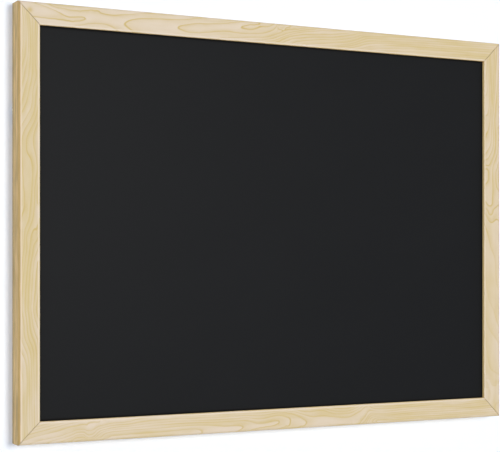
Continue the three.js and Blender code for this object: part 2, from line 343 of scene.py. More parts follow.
BOTTOM_RAIL_RINGS = (
    (0, [(30, 1), (45, 4.5), (55, 7), (65, 10), (72, 9), (77, 6), (82, 9), (86, 12.3), (92, 13.5),
        (100, 14.5), (110, 15), (120, 15), (130, 16.5), (140, 17.5), (150, 18), (170, 18.4), (190, 18),
        (210, 17.5), (230, 17.3), (250, 17.5), (262, 17.5), (275, 16.3), (290, 17.8), (302, 18.6),
        (311, 17.6), (317, 16), (321, 14), (326, 11.5), (331, 9), (334, 6.5), (332, 4), (327, 2.2),
        (320, 1)]),
    (1, [(12, 1), (20, 3.5), (30, 5), (40, 6.5), (48, 8), (55, 10), (62, 12), (67, 13), (72, 12.2),
        (77, 9), (81, 11.5), (85, 14.6), (92, 16), (100, 17.4), (110, 17.6), (118, 17.8), (125, 19),
        (132, 20.3), (142, 21), (165, 21), (190, 20.6), (215, 20.2), (250, 20.2), (275, 19.5),
        (290, 20.3), (305, 20.8), (316, 19), (325, 16.5), (334, 13.5), (341, 12), (347, 12.6),
        (355, 12.4), (365, 11), (375, 9.8), (385, 9.3), (391, 10), (397, 12.5), (402, 14.6), (406, 17),
        (410, 20), (414, 20), (418, 18.3), (425, 17), (440, 16.5), (457, 17), (480, 17.5), (500, 18),
        (520, 17), (535, 16.2), (550, 16.7), (575, 18)]),
    (2, [(10, 6), (20, 8.5), (30, 10.5), (40, 12), (47, 13.5), (52, 15.5), (60, 17), (68, 18),
        (75, 18.2), (83, 19), (90, 20.5), (97, 22)]),
    (2, [(318, 21.5), (326, 19.2), (333, 18), (342, 18.2), (350, 18.6), (357, 17.6), (364, 15.4),
        (372, 13.6), (382, 13), (390, 13.4), (396, 15.5), (402, 18), (407, 21.5)]),
    (2, [(418, 21.5), (425, 19.8), (440, 19), (465, 19.2), (500, 20.3), (530, 18.5), (550, 19),
        (572, 20.3)]),
    (3, [(345, 22), (355, 20.8), (362, 18.8), (370, 16.8), (382, 16), (390, 16.7), (397, 19),
        (403, 21.5)]),
    (4, [(362, 22), (372, 19.8), (384, 19.2), (392, 20.2), (398, 22)]),
    (3, [(430, 22.5), (445, 21.6), (470, 21.8), (500, 22.8)]),
    (3, [(520, 21.3), (540, 20.8), (570, 22.3)]),
    (3, [(10, 10), (20, 12.5), (35, 15.5), (48, 18), (60, 20), (70, 21.5)]),
    (4, [(14, 14), (25, 16.5), (40, 19), (52, 21.5)]),
    (5, [(17, 17.5), (28, 19.8), (38, 22)]),
    (-1, [(45, 1), (58, 5), (66, 8), (72, 6), (77, 3.5), (83, 7), (90, 10.8), (100, 12.6), (120, 13.2),
        (150, 15), (175, 15.6), (200, 15.1), (225, 14.5), (245, 14.8), (260, 15), (267, 13.5),
        (275, 12.8), (283, 13.5), (290, 15), (297, 15.8), (303, 14.8), (309, 12.5), (313, 9),
        (314, 6.5), (310, 4), (303, 2.3), (297, 0.8)]),
    (-2, [(57, 1.5), (66, 5), (72, 3.5), (77, 1.2), (83, 4), (90, 8.3), (97, 10.6), (105, 11.2),
        (120, 11.5), (150, 12.4), (175, 13), (200, 12.6), (220, 12), (240, 12.3), (255, 12), (262, 11),
        (268, 9), (275, 8.3), (283, 8.8), (291, 10), (296, 9.3), (299, 6.8), (290, 4.8), (275, 3.5),
        (265, 2), (260, 0.5)]),
    (-3, [(86, 3), (92, 6), (100, 8), (120, 8.8), (150, 9.2), (175, 9.8), (200, 10), (215, 9.2),
        (225, 8), (232, 7.2), (242, 7.3), (250, 6.8), (255, 5), (252, 3.3), (247, 1.2)]),
    (-4, [(92, 1), (100, 4.4), (120, 5), (150, 5.2), (165, 5.5), (175, 6), (185, 6.7), (197, 6.2),
        (203, 5), (205, 2.5), (204, 0.8)]),
    (0, [(402, 1), (405, 4), (408, 7), (411, 10), (413, 13), (417, 15.3), (421, 14.8), (427, 14.1),
        (440, 13.5), (455, 13.8), (470, 14.6), (485, 15), (500, 15), (505, 15.4), (520, 14.9),
        (535, 14), (550, 14.4), (575, 15.6)]),
    (-1, [(407, 1), (411, 5), (414, 9), (417, 12.3), (422, 12), (440, 11), (460, 11.6), (480, 12.5),
        (500, 12.4), (520, 12.4), (540, 11.7), (575, 12.7)]),
    (-2, [(411, 1), (414, 5), (417, 8.8), (422, 10), (440, 8.9), (457, 9.7), (478, 10.2), (500, 9.8),
        (540, 9.3), (580, 10.3)]),
    (-3, [(416, 1), (417, 4.5), (420, 7.7), (430, 8), (445, 7.2), (460, 7.7), (480, 8), (500, 7.5),
        (540, 7.1), (585, 7.9)]),
    (-4, [(421, 1), (420, 3), (422, 5.5), (427, 6.5), (435, 6), (445, 5.4), (460, 5.4), (478, 5.5),
        (500, 5.2), (540, 4.9), (588, 5.4)]),
    (-5, [(429, 0.8), (430, 3), (435, 3.8), (441, 3.2), (450, 2.9), (470, 3.1), (500, 2.8), (540, 2.7),
        (592, 3)]),
    (-4.6, [(120, 2), (150, 2), (180, 2)]),
    (-3.4, [(222, 2), (238, 1.5)]),
    (-4.5, [(75, 1), (90, 0.5)]),
    (1.5, [(73, 15), (77, 13.6), (81, 15.2)]),
    (2.4, [(74, 21), (80, 21)]),
    (0.55, [(350, 6), (380, 5), (395, 6)]),
    (0.35, [(345, 2), (390, 2)]),
)
LEFT_STILE_RINGS = (
    (0, [(98, 22.5), (108, 20.6), (115, 19), (122, 17), (130, 13), (135, 10.5), (140, 9), (146, 8.6),
        (152, 9), (156, 11), (160, 13.5), (166, 15), (175, 15.2), (185, 14.5), (200, 13.8), (215, 13.2),
        (222, 12), (227, 9.5), (232, 7.2), (240, 6.2), (250, 6.1), (260, 5), (272, 3.6), (285, 2),
        (295, 1)]),
    (1, [(118, 22.5), (125, 19.5), (130, 17.5), (137, 16), (145, 16), (152, 17.5), (160, 19.3),
        (170, 20.2), (180, 18.5), (190, 17.3), (200, 17), (210, 16), (220, 14.5), (226, 12.5),
        (233, 10), (240, 8.7), (250, 8.8), (262, 7.3), (275, 5.8), (290, 4.3), (305, 3.5), (315, 4),
        (325, 5.6), (335, 6.3), (343, 7.5), (349, 10.3), (356, 12.8), (365, 13.6), (390, 14.2),
        (435, 14.4)]),
    (2, [(224, 21.5), (230, 18), (236, 14.5), (243, 13), (252, 12.5), (262, 11), (272, 9.5), (285, 8.5),
        (300, 7.3), (312, 6.8), (318, 8), (325, 9), (335, 9.5), (340, 10.2), (345, 12.2), (350, 14.5),
        (358, 16.2), (375, 16.5), (400, 16.7), (432, 17)]),
    (3, [(238, 22), (245, 17.5), (250, 15.3), (258, 14.4), (270, 12.8), (285, 11.5), (300, 10.6),
        (314, 10.6), (325, 12), (333, 12.8), (340, 14.5), (346, 17), (355, 19), (375, 19.2),
        (428, 19.5)]),
    (4, [(248, 22), (257, 18.5), (265, 16), (275, 15), (290, 14.2), (300, 13.8), (310, 13.2),
        (320, 14.2), (330, 15.2), (337, 17.4), (343, 20.3), (355, 21.8), (380, 22)]),
    (5, [(262, 21.5), (275, 19.3), (290, 18), (300, 17), (312, 16), (322, 17.3), (327, 19), (331, 21)]),
    (6, [(290, 22), (305, 20), (313, 19.3), (319, 20.5), (323, 22)]),
    (-1, [(78, 22.5), (90, 19.3), (100, 18.2), (108, 17.3), (114, 15.8), (120, 13), (126, 9.5),
        (131, 6.5), (136, 4.8), (142, 3.9), (153, 3.7), (165, 4.4), (175, 5), (185, 5.4), (195, 6.5),
        (203, 7), (211, 6.6), (216, 5), (221, 3), (228, 1.2)]),
    (-2, [(22, 18), (40, 17.5), (60, 17.6), (70, 18.6), (76, 19), (80, 18), (85, 16.2), (92, 15.2),
        (100, 15), (105, 14.3), (110, 12.5), (117, 9), (122, 6), (127, 3.2), (132, 1.2)]),
    (-3, [(18, 15.3), (40, 15.3), (60, 15.4), (73, 15), (83, 13), (93, 11), (103, 8.5), (111, 5),
        (117, 2)]),
    (-4, [(15, 10.8), (20, 12), (30, 12.8), (40, 13), (50, 13), (57, 12.9), (65, 12), (73, 10.8),
        (80, 9.8), (85, 8), (90, 6.5), (100, 4.3), (107, 1.8)]),
    (-5, [(14, 9), (25, 10.3), (40, 10.6), (55, 10.2), (65, 8.3), (76, 6), (85, 4), (92, 1.8)]),
    (-6, [(12, 6.8), (30, 8), (45, 8.2), (55, 7.2), (62, 5), (70, 2.4)]),
    (-7, [(10, 4.5), (25, 5.8), (40, 6), (50, 4.7), (58, 2)]),
    (-8, [(8, 2.5), (25, 3.6), (38, 3.6), (46, 1.6)]),
    (-1, [(350, 1), (357, 4), (363, 7), (372, 8.8), (385, 9.5), (400, 9.3), (415, 8.8), (425, 9.2),
        (439, 10)]),
    (-2, [(368, 1.2), (378, 4), (390, 5.1), (405, 5), (420, 5), (443, 6.5)]),
    (0, [(338, 1), (345, 4), (352, 7), (359, 9.8), (370, 11), (385, 11.8), (410, 11.7), (436, 12.2)]),
    (-3, [(385, 1.2), (400, 2.2), (425, 2.2)]),
    (-1.6, [(185, 1.5), (200, 1.5)]),
    (1.6, [(143, 20)]),
    (0.5, [(170, 18)]),
    (-0.5, [(200, 10), (212, 9.5), (222, 7), (230, 4)]),
    (1.5, [(210, 20), (222, 18), (228, 15)]),
)
RIGHT_STILE_RINGS = (
    (0, [(10, 2), (50, 3.5), (80, 6.5), (95, 8.3), (105, 7.3), (112, 6.7), (120, 6.5), (127, 7),
        (133, 8.5), (140, 11), (145, 13.5), (148, 16), (149, 19), (148.5, 22)]),
    (1, [(100, 1), (113, 2), (124, 2.8), (131, 3.8), (137, 5.2), (141, 7), (146, 9), (151, 10.5),
        (160, 10.7), (170, 10.5), (180, 10), (190, 10.5), (196, 11.7), (199, 13.8), (198, 16),
        (195, 18.3), (191, 22)]),
    (2, [(140, 1), (145, 2.5), (150, 4.2), (156, 5.8), (165, 6.3), (171, 5.5), (175, 4), (178.5, 1.2)]),
    (3, [(152, 1), (160, 2.5), (167, 2), (171, 0.5)]),
    (1, [(196, 1), (196, 5), (199, 7.5), (204, 10), (207, 12.5), (206, 15), (202, 18.3), (198.5, 22)]),
    (1.35, [(200, 14.5), (202.5, 14.5)]),
    (1.4, [(187, 5), (187, 9)]),
    (1.15, [(195, 21)]),
    (0, [(214, 1), (212.5, 5), (214, 8), (216.5, 11), (216.5, 14), (213, 17), (208, 20), (205, 22.5)]),
    (0, [(150.5, 22), (151, 18), (153, 16.6), (158, 16.4), (163, 16.7), (167, 18), (170, 20.2),
        (171, 22)]),
    (-0.5, [(160, 20), (163, 22)]),
    (0.5, [(150, 14), (175, 14), (180, 18), (182, 22)]),
    (-1, [(8, 5), (50, 6.6), (85, 10), (100, 10), (115, 9.2), (125, 10), (133, 13), (139, 17),
        (141.5, 22)]),
    (-2, [(12, 8.5), (50, 9.6), (85, 12.3), (100, 13), (112, 12.4), (121, 13.2), (126, 15.5), (130, 18),
        (135, 22)]),
    (-3, [(14, 11), (50, 12.3), (78, 13.3), (92, 14.2), (100, 15.4), (106, 17.6), (112, 20),
        (118, 22.3)]),
    (-4, [(16, 13.4), (35, 13.8), (55, 14.8), (70, 15.4), (80, 17), (87, 19.2), (92, 22.5)]),
    (-5, [(20, 15.8), (32, 16.2), (45, 17), (55, 18.3), (62, 20.2), (67, 22.5)]),
    (-6, [(22, 18.6), (33, 19.5), (42, 21), (48, 22.5)]),
    (-1, [(218, 22.8), (226, 19.5), (235, 16.5), (245, 14), (250, 12), (255, 9), (262, 6.8), (272, 6.2),
        (283, 5.8), (291, 4.5), (296, 2), (298, 0.5)]),
    (-0.5, [(228, 3), (232, 10)]),
    (-1.5, [(275, 13), (290, 12)]),
    (-2, [(272, 23), (287, 20.6), (300, 18.6), (310, 16), (315, 13), (322, 9.3), (330, 6.6), (338, 4),
        (343, 1)]),
    (-3, [(325, 23), (338, 19), (348, 13.5), (354, 8), (359, 4), (365, 1)]),
    (-4, [(355, 23), (370, 19), (384, 17.5), (393, 14), (396, 9), (398, 4), (398, 1)]),
    (-5, [(382, 23), (395, 20.5), (410, 17.5), (430, 16)]),
    (-5, [(412, 1), (412, 5), (414, 8.5), (411, 12), (404, 16)]),
    (-6, [(433, 1), (434, 4), (438, 6.5), (443, 7)]),
    (-5.5, [(424, 3), (424, 6)]),
    (-5.4, [(425, 21)]),
    (-4.4, [(405, 4), (405, 9)]),
    (0.6, [(85, 2), (94, 1)]),
    (0.3, [(40, 1)]),
    (-4.6, [(75, 18.5), (82, 20.5)]),
    (-5.5, [(60, 22)]),
)

PALE_WOOD = (0.75, 0.62, 0.465, 1.0)
YELLOW_WOOD = (0.675, 0.535, 0.29, 1.0)
RING_WOOD = (0.61, 0.445, 0.145, 1.0)
# Painted light: a bright orange for the light that falls on the bars' inner walls
LIP_LIGHT_WOOD = (1.0, 0.68, 0.27, 1.0)
# Painted highlight: a paler wood for the lines beside the rounded edge and along the inner edge
HIGHLIGHT_WOOD = (0.83, 0.69, 0.53, 1.0)
# The outer side's colour: browner than the face, and darker, partly as painted shade
SHADED_SIDE_WOOD = (0.775, 0.515, 0.22, 1.0)
# Dark brown for the side's streaks, and for painted shade along the edges and the mitres
DARK_STREAK_AND_SHADE = (0.45, 0.295, 0.10, 1.0)
# The darkest painted shade, at the side's back edge beside the wall
BACK_EDGE_SHADE_WOOD = (0.32, 0.215, 0.08, 1.0)

# Rings
STATION_MM = 4.0               # step along a bar at which the count is worked out
TERMS = 6                      # powers of the place across the bar
DRAWN_STEP_MM = 2.0            # step along a drawn ring
STIFF_ALONG = 0.5              # what a bend in the count along the bar weighs in the fit
STIFF_ACROSS = 0.09            # what a bend across it weighs
PROBE_MM = 1.0                 # how far away the count is read again, to find how dense the rings are
RINGS_PER_MM_DEEP = 0.3
SPARSE_RINGS_PER_MM = 0.13     # below about this the lines are broad
LEAST_RINGS_PER_MM = 0.02
WANDER_MM = 0.5                # how far a ring's line wanders from the drawn one
LINE_MM = 0.42                 # half width of a ring's line where the rings are dense
BROAD_LINE_MM = 0.4            # what is added where they are sparse

# Lengths of the noises' shapes along the bar, across it and into it. A band's first is in rings.
SWAY_MM = (20.0, 4.5, 6.0)
FIBRE_MM = (28.0, 0.33, 0.33)
CLOUD_MM = (55.0, 17.0, 17.0)
BLOTCH_MM = (20.0, 8.0, 5.0)
BAND_SIZES = (1.8, 83.0, 50.0)
STREAK_MM = (50.0, 3.3, 3.3)

# How strongly the patterns show on the face. Pairs are for dense rings, then for sparse ones.
CLOUD_GAIN = 1.4
BAND_GAINS = (2.6, 1.0)
SPARSE_PALENESS = 0.5
LATE_WOOD_SHARES = (0.75, 0.45)
LINE_SHARES = (0.4, 1.0)
FIBRE_GAIN = 0.9
KNOT_SHARE = 0.8

# How they change each other. These pairs are for the changing pattern at its weakest and strongest.
LATE_WOOD_BY_BLOTCH = (-0.2, 1.4)
LATE_WOOD_BY_BOLDNESS = (0.65, 1.0)
LINES_BY_BAND = (0.2, 1.6)

# Outer side: how far its colour, partly painted shade, reaches over the rounded edge onto the face, how
# streaked it is, and its edges in painted shade
STILE_SIDE_REACH_MM = 2.7
HIDDEN_STILE_SIDE_REACH_MM = 0.6
RAIL_SIDE_REACH_MM = 0.2
REACH_FADE_MM = 0.33
STREAK_GAIN = 5.5
SIDE_SHADE_SHARE = 0.4
SKIN_LINE_SHARE = 0.4
FRONT_LINE_MM = 1.3            # painted shade: the dark line along its rounded front edge
FRONT_LINE_HALF_MM = 1.2
FRONT_LINE_BY_STREAK = (0.1, 0.9)
BACK_LINE_MM = 4.5             # where the painted shade at its back begins, measured from the back edge
BACK_LINE_FADE_MM = 1.7
BACK_LINE_SHARE = 0.8
BACK_RIM_MM = 5.0              # where the darkest strip of painted shade begins
BACK_RIM_FADE_MM = 0.8
BACK_RIM_SHARE = 0.8

# Lines on the face, along its edges: painted shade on the rounded edge, painted highlights beside it and
# along the inner edge, painted light on the inner walls, and the mitres' lines. A share for each
# millimetre grows with the outer side's reach.
RIM_MM = 1.3                   # painted shade: the dark line on the rounded edge
RIM_HALF_MM = 0.9
RIM_DEPTH_MM = 3.0
RIM_BY_STREAK = (0.35, 0.85)
RIM_SHARE_EACH_MM = 0.7
EDGE_HIGHLIGHT_MM = 3.2             # painted highlight: the pale line beside it
EDGE_HIGHLIGHT_HALF_MM = 0.7
EDGE_HIGHLIGHT_SHARE_EACH_MM = 0.3
INNER_LINE_MM = 1.4            # painted highlight: the pale line along the inner edge
INNER_LINE_HALF_MM = 0.7
INNER_LINE_SHARE = 0.8
MITRE_LINE_HALF_MM = 0.8       # the darker line along each mitre: a glue line, and painted shade of the gap
MITRE_LINE_SHARE = 0.38
LIP_MM = 0.12                  # how far the painted light on the inner walls, a bright orange, reaches onto the face
LIP_FADE_MM = 0.1

# Surface
FIBRE_RELIEF = 0.05 * MM
RELIEF_LINE_SHARE = 0.5
RELIEF_FIBRE_SHARE = 0.6
ROUGHNESS_BY_FIBRE = (0.5, 0.66)
LINE_GLOSS = 0.08


def powers_across(across):
    """The powers of a place across the bar, which runs from -1 to 1."""
    return (2 * across / BAR_WIDTH_MM - 1) ** numpy.arange(TERMS)


def ring_fields(length, rings):
    """For each power across, its factor at each station along the bar, so that the sum counts the rings.

    The factors are the smoothest ones that pass close to every drawn ring: a least squares fit.
    """
    stations = int(length / STATION_MM) + 1
    pull = numpy.zeros((stations * TERMS, stations * TERMS))
    wanted = numpy.zeros(stations * TERMS)

    def ask(count, first, *shares):
        """Asks for a count from the stations that start at this one, by what each factor adds to it."""
        row = numpy.concatenate(shares)
        span = slice(first * TERMS, first * TERMS + len(row))
        pull[span, span] += numpy.outer(row, row)
        wanted[span] += count * row

    for count, points in rings:
        along, across = numpy.array(points, float).T
        run = numpy.append(0, numpy.cumsum(numpy.hypot(numpy.diff(along), numpy.diff(across))))
        places = numpy.arange(0, run[-1] + DRAWN_STEP_MM, DRAWN_STEP_MM)
        for x, y in zip(numpy.interp(places, run, along), numpy.interp(places, run, across)):
            station, share = divmod(x / STATION_MM, 1)
            powers = powers_across(y)
            ask(count, int(station), powers * (1 - share), powers * share)

    lanes, gap = numpy.linspace(0, BAR_WIDTH_MM, TERMS, retstep=True)
    for station in range(stations - 2):
        for lane in lanes:
            powers = powers_across(lane) * STIFF_ALONG
            ask(0, station, powers, -2 * powers, powers)
        for lane in lanes[1:-1]:
            bend = powers_across(lane - gap) - 2 * powers_across(lane) + powers_across(lane + gap)
            ask(0, station, bend * STIFF_ACROSS)
    return numpy.linalg.solve(pull, wanted).reshape(stations, TERMS).T


def ring_counter(tree, fields, along, length):
    """A function that gives the count at a place across the bar, at this place along it."""
    share_along = along / length
    places = [station * STATION_MM / length for station in range(len(fields[0]))]
    factors = [tree.curve(share_along, list(zip(places, field))) for field in fields]

    def count(across):
        place = across * (2 / BAR_WIDTH_MM) - 1.0
        total = factors[-1]
        for factor in reversed(factors[:-1]):
            total = total * place + factor
        return total

    return count


def growth(tree, place, length, rings):
    """The count of rings at a place, how sparse they are there, and how nearly it lies on a line."""
    along, across, deep = place
    drawn = across + tree.noise(place, SWAY_MM, detail=3.0).spread(2 * WANDER_MM)
    fields = ring_fields(length, rings)
    counter = ring_counter(tree, fields, along, length)
    on_face = counter(drawn)
    rise_along = ring_counter(tree, fields, along + PROBE_MM, length)(drawn) - on_face
    rise_across = counter(drawn + PROBE_MM) - on_face
    rise_inward = (deep - EDGE_RADIUS_MM).clamped() * RINGS_PER_MM_DEEP
    squares = rise_along ** 2.0 + rise_across ** 2.0 + rise_inward ** 2.0 + LEAST_RINGS_PER_MM ** 2
    rings_per_mm = squares ** 0.5
    count = on_face + deep * RINGS_PER_MM_DEEP
    sparse = rings_per_mm.hump(SPARSE_RINGS_PER_MM)
    away = count.math("PINGPONG", 0.5) / rings_per_mm
    return count, sparse, away.hump(sparse * BROAD_LINE_MM + LINE_MM)


def face_wood(tree, place, count, sparse, line, bold, warm):
    """The face's wood: slow changes of tone, then late wood and the rings' lines."""
    along, _, deep = place
    band = tree.noise((count, along, deep), BAND_SIZES)
    tone = tree.noise(place, CLOUD_MM).spread(CLOUD_GAIN) + band.spread(sparse.between(*BAND_GAINS))
    wood = tree.mix(tone + warm - sparse * SPARSE_PALENESS, PALE_WOOD, YELLOW_WOOD)
    late = (1.0 - count.math("FRACT")) ** 2.0
    late = (late * tree.noise(place, BLOTCH_MM).between(*LATE_WOOD_BY_BLOTCH)).clamped()
    late = late * sparse.between(*LATE_WOOD_SHARES) * bold.between(*LATE_WOOD_BY_BOLDNESS)
    wood = tree.mix(late, wood, RING_WOOD)
    line_share = line * bold * sparse.between(*LINE_SHARES) * band.between(*LINES_BY_BAND)
    return tree.mix(line_share, wood, RING_WOOD)


def shaded_outer_side(tree, deep, line, streak):
    """The outer side's wood: browner and streaked, darker than the face partly as painted shade, and
    with painted shade along its front and back edges.
    """
    dark = streak.spread(STREAK_GAIN) + line * SKIN_LINE_SHARE + SIDE_SHADE_SHARE
    skin = tree.mix(dark, SHADED_SIDE_WOOD, DARK_STREAK_AND_SHADE)
    # Painted shade along the rounded front edge
    front_edge_shade = (deep - FRONT_LINE_MM).hump(FRONT_LINE_HALF_MM) * streak.between(*FRONT_LINE_BY_STREAK)
    # Painted shade along the back edge, beside the wall, darkest in a strip at the very back
    back_edge_shade = deep.past(BAR_DEPTH_MM - BACK_LINE_MM, BACK_LINE_FADE_MM) * BACK_LINE_SHARE
    skin = tree.mix(front_edge_shade + back_edge_shade, skin, DARK_STREAK_AND_SHADE)
    back_rim_shade = deep.past(BAR_DEPTH_MM - BACK_RIM_MM, BACK_RIM_FADE_MM) * BACK_RIM_SHARE
    return tree.mix(back_rim_shade, skin, BACK_EDGE_SHADE_WOOD)


def pine(name, length, along_place, across_place, side_reach, boldness, warmth, rings, knots=()):
    """Pine for one bar. Each place is an axis, its start in millimetres, and the way that it runs.

    Boldness is how strongly the rings' lines show and warmth how yellow the wood is, at shares of
    the length. A knot is its place along and across the bar, and its radius, in millimetres.
    """
    material, tree = new_material(name)
    axes = tree.coordinates()

    def measured(axis, start, sign):
        return axes[axis] * sign + start

    along = measured(*along_place)
    across = measured(*across_place)
    deep = axes[1] - FRONT / MM
    place = (along, across, deep)
    from_end = along.math("MINIMUM", length - along)
    from_inside = BAR_WIDTH_MM - across
    fibre = tree.noise(place, FIBRE_MM, detail=4.0, roughness=0.65)
    streak = tree.noise(place, STREAK_MM, detail=4.0, roughness=0.6)
    count, sparse, line = growth(tree, place, length, rings)

    # The face
    bold = tree.curve(along / length, boldness)
    warm = tree.curve(along / length, warmth)
    wood = face_wood(tree, place, count, sparse, line, bold, warm)
    wood = tree.mix(fibre.spread(FIBRE_GAIN), wood, RING_WOOD)
    for knot_along, knot_across, radius in knots:
        reach = ((along - knot_along) ** 2.0 + (across - knot_across) ** 2.0) ** 0.5
        wood = tree.mix(reach.hump(radius) * KNOT_SHARE, wood, RING_WOOD)

    # Its painted highlights, the outer side with its painted shade, the mitres' dark lines, partly
    # painted shade, and the painted shade on the rounded edge
    # Painted highlights beside the rounded edge and along the inner edge
    edge_highlight = (across - EDGE_HIGHLIGHT_MM).hump(EDGE_HIGHLIGHT_HALF_MM) * (side_reach * EDGE_HIGHLIGHT_SHARE_EACH_MM)
    inner_highlight = (from_inside - INNER_LINE_MM).hump(INNER_LINE_HALF_MM) * INNER_LINE_SHARE
    wood = tree.mix(edge_highlight + inner_highlight, wood, HIGHLIGHT_WOOD)
    # The outer side's colour, partly painted shade, reaches onto the face over the rounded edge
    on_side = (side_reach - across).past(0, REACH_FADE_MM)
    wood = tree.mix(on_side, wood, shaded_outer_side(tree, deep, line, streak))
    # A dark line along each mitre: a glue line, and painted shade of the gap
    wood = tree.mix((from_end - across).hump(MITRE_LINE_HALF_MM) * MITRE_LINE_SHARE, wood, DARK_STREAK_AND_SHADE)
    # Painted shade: a dark line on the rounded outer edge, strongest where the outer side's colour
    # reaches furthest
    rim_shade = (across - RIM_MM).hump(RIM_HALF_MM) * (RIM_DEPTH_MM - deep).clamped()
    rim_shade = rim_shade * streak.between(*RIM_BY_STREAK) * (side_reach * RIM_SHARE_EACH_MM)
    wood = tree.mix(rim_shade, wood, DARK_STREAK_AND_SHADE)

    # Painted light: the inner walls, and the face's last tenth of a millimetre, in bright orange
    lip_light = (LIP_MM - from_inside).past(0, LIP_FADE_MM)
    tree.surface(
        Base_Color=tree.mix(lip_light, wood, LIP_LIGHT_WOOD),
        Roughness=fibre.between(*ROUGHNESS_BY_FIBRE) - line * LINE_GLOSS,
        Normal=tree.bump(line * RELIEF_LINE_SHARE + fibre * RELIEF_FIBRE_SHARE, FIBRE_RELIEF),
        Specular_IOR_Level=0.35,
    )
    return material


WIDTH_MM = 2 * HALF_WIDTH / MM
HEIGHT_MM = 2 * HALF_HEIGHT / MM
FROM_LEFT = (0, WIDTH_MM / 2, 1)
FROM_RIGHT = (0, WIDTH_MM / 2, -1)
FROM_TOP = (2, HEIGHT_MM / 2, -1)
FROM_BOTTOM = (2, HEIGHT_MM / 2, 1)
BARS = {
    "top_rail": {
        "length": WIDTH_MM, "along_place": FROM_LEFT, "across_place": FROM_TOP,
        "side_reach": RAIL_SIDE_REACH_MM, "rings": TOP_RAIL_RINGS, "knots": [(12.5, 8.7, 3.0)],
        "boldness": [(0, 1.3), (0.45, 1.3), (0.6, 1.0), (0.8, 0.6), (1, 0.5)],
        "warmth": [(0, 0.43), (0.45, 0.38), (0.65, 0.7), (1, 0.74)],
    },
    "bottom_rail": {
        "length": WIDTH_MM, "along_place": FROM_LEFT, "across_place": FROM_BOTTOM,
        "side_reach": RAIL_SIDE_REACH_MM, "rings": BOTTOM_RAIL_RINGS,
        "boldness": [(0, 0.9), (0.4, 0.9), (0.55, 1.1), (0.75, 0.9), (1, 0.7)],
        "warmth": [(0, 0.3), (0.3, 0.35), (0.6, 0.6), (1, 0.5)],
    },
    "left_stile": {
        "length": HEIGHT_MM, "along_place": FROM_TOP, "across_place": FROM_LEFT,
        "side_reach": STILE_SIDE_REACH_MM, "rings": LEFT_STILE_RINGS,
        "boldness": [(0, 0.8), (0.2, 1.2), (0.45, 1.6), (0.75, 1.5), (0.83, 0.8), (1, 0.6)],
        "warmth": [(0, 0.5), (0.08, 0.7), (0.15, 0.9), (0.5, 1.0), (0.8, 0.7), (1, 0.6)],
    },
    "right_stile": {
        "length": HEIGHT_MM, "along_place": FROM_TOP, "across_place": FROM_RIGHT,
        "side_reach": HIDDEN_STILE_SIDE_REACH_MM, "rings": RIGHT_STILE_RINGS,
        "boldness": [(0, 0.7), (0.2, 1.2), (0.35, 1.6), (0.48, 1.4), (0.56, 0.45), (0.85, 0.25),
                     (1, 0.25)],
        "warmth": [(0, 0.65), (0.4, 0.7), (0.6, 0.9), (1, 0.85)],
    },
}
for bar, layout in BARS.items():
    dress(bar, pine(f"pine_{bar}", **layout))


# Chalk lacquer
LACQUER_BLACK = (0.0068, 0.0073, 0.0081, 1.0)
LACQUER_HAZE = (0.0088, 0.0093, 0.0101, 1.0)
LACQUER_RIM_SHADE = (0.0012, 0.0012, 0.0013, 1.0)
RIM_SHADE_MM = 3.0             # painted shade beside the bars: darker than clean lacquer, with no chalk haze
LACQUER_GRIT_MM = (0.6, 0.6, 0.6)
WIPE_MM = (250.0, 250.0, 91.0)
WIPE_RISE_SHARE = 0.36
WIPE_LEAN_SHARE = 0.75
HAZE_START = 0.42              # of the wiped smear, below which the black stays clean
HAZE_GAIN = 1.6
LACQUER_ROUGHNESS = 0.44
GRIT_ROUGHNESS = 0.12
SMEAR_ROUGHNESS = 0.05
RIM_ROUGHNESS = 0.3
LACQUER_RELIEF = 0.02 * MM

# Hardboard
HARDBOARD_DARK = (0.115, 0.055, 0.024, 1.0)
HARDBOARD_PALE = (0.235, 0.13, 0.062, 1.0)
SCREEN_PITCH_MM = 1.3          # of the screen that marks the back of hardboard
HARDBOARD_FIBRE_MM = (2.0, 1.0, 1.1)
HARDBOARD_PATCH_MM = (50.0, 50.0, 50.0)
HARDBOARD_FIBRE_SHARE = 1.5
HARDBOARD_PATCH_SHARE = 0.8
HARDBOARD_SCREEN_SHARE = 0.12
HARDBOARD_DARK_SHARE = 0.65
HARDBOARD_ROUGHNESS = (0.65, 0.9)
HARDBOARD_RELIEF = 0.12 * MM
SCREEN_RELIEF_SHARE = 0.5

# Softboard
SOFTBOARD_DARK = (0.25, 0.17, 0.10, 1.0)
SOFTBOARD_PALE = (0.42, 0.32, 0.21, 1.0)
SOFTBOARD_FIBRE_MM = (3.3, 1.1, 1.1)
SHIVE_MM = (1.1, 0.5, 4.0)
SHIVE_START = 0.6
SHIVE_GAIN = 4.0
SOFTBOARD_SHARES = (-0.3, 1.3)
SOFTBOARD_ROUGHNESS = (0.75, 0.95)
SOFTBOARD_RELIEF = 0.3 * MM

# Zinc plate
ZINC_DARK = (0.43, 0.44, 0.45, 1.0)
ZINC_PALE = (0.66, 0.67, 0.67, 1.0)
ZINC_CRYSTAL_MM = (1.6, 1.6, 1.6)
ZINC_SMOOTHEST = 0.12

# Nickel plate
NICKEL_DARK = (0.52, 0.48, 0.42, 1.0)
NICKEL_PALE = (0.73, 0.70, 0.64, 1.0)
NICKEL_CRYSTAL_MM = (3.0, 3.0, 3.0)
NICKEL_SMOOTHEST = 0.02

# Both plates
PLATE_PALE_SHARE = 0.05
CRYSTAL_SHARE = 0.35
CRYSTAL_ROUGHNESS = 0.05
SCRATCH_MM = (0.11, 0.11, 1.4)
SCRATCH_SHARE = 0.7
SCRATCH_ROUGHNESS = 0.22
DULL_MM = (4.0, 4.0, 4.0)
DULL_SHARE = 2.0
DULL_ROUGHNESS = 0.2
SCRATCH_RELIEF = 0.012 * MM

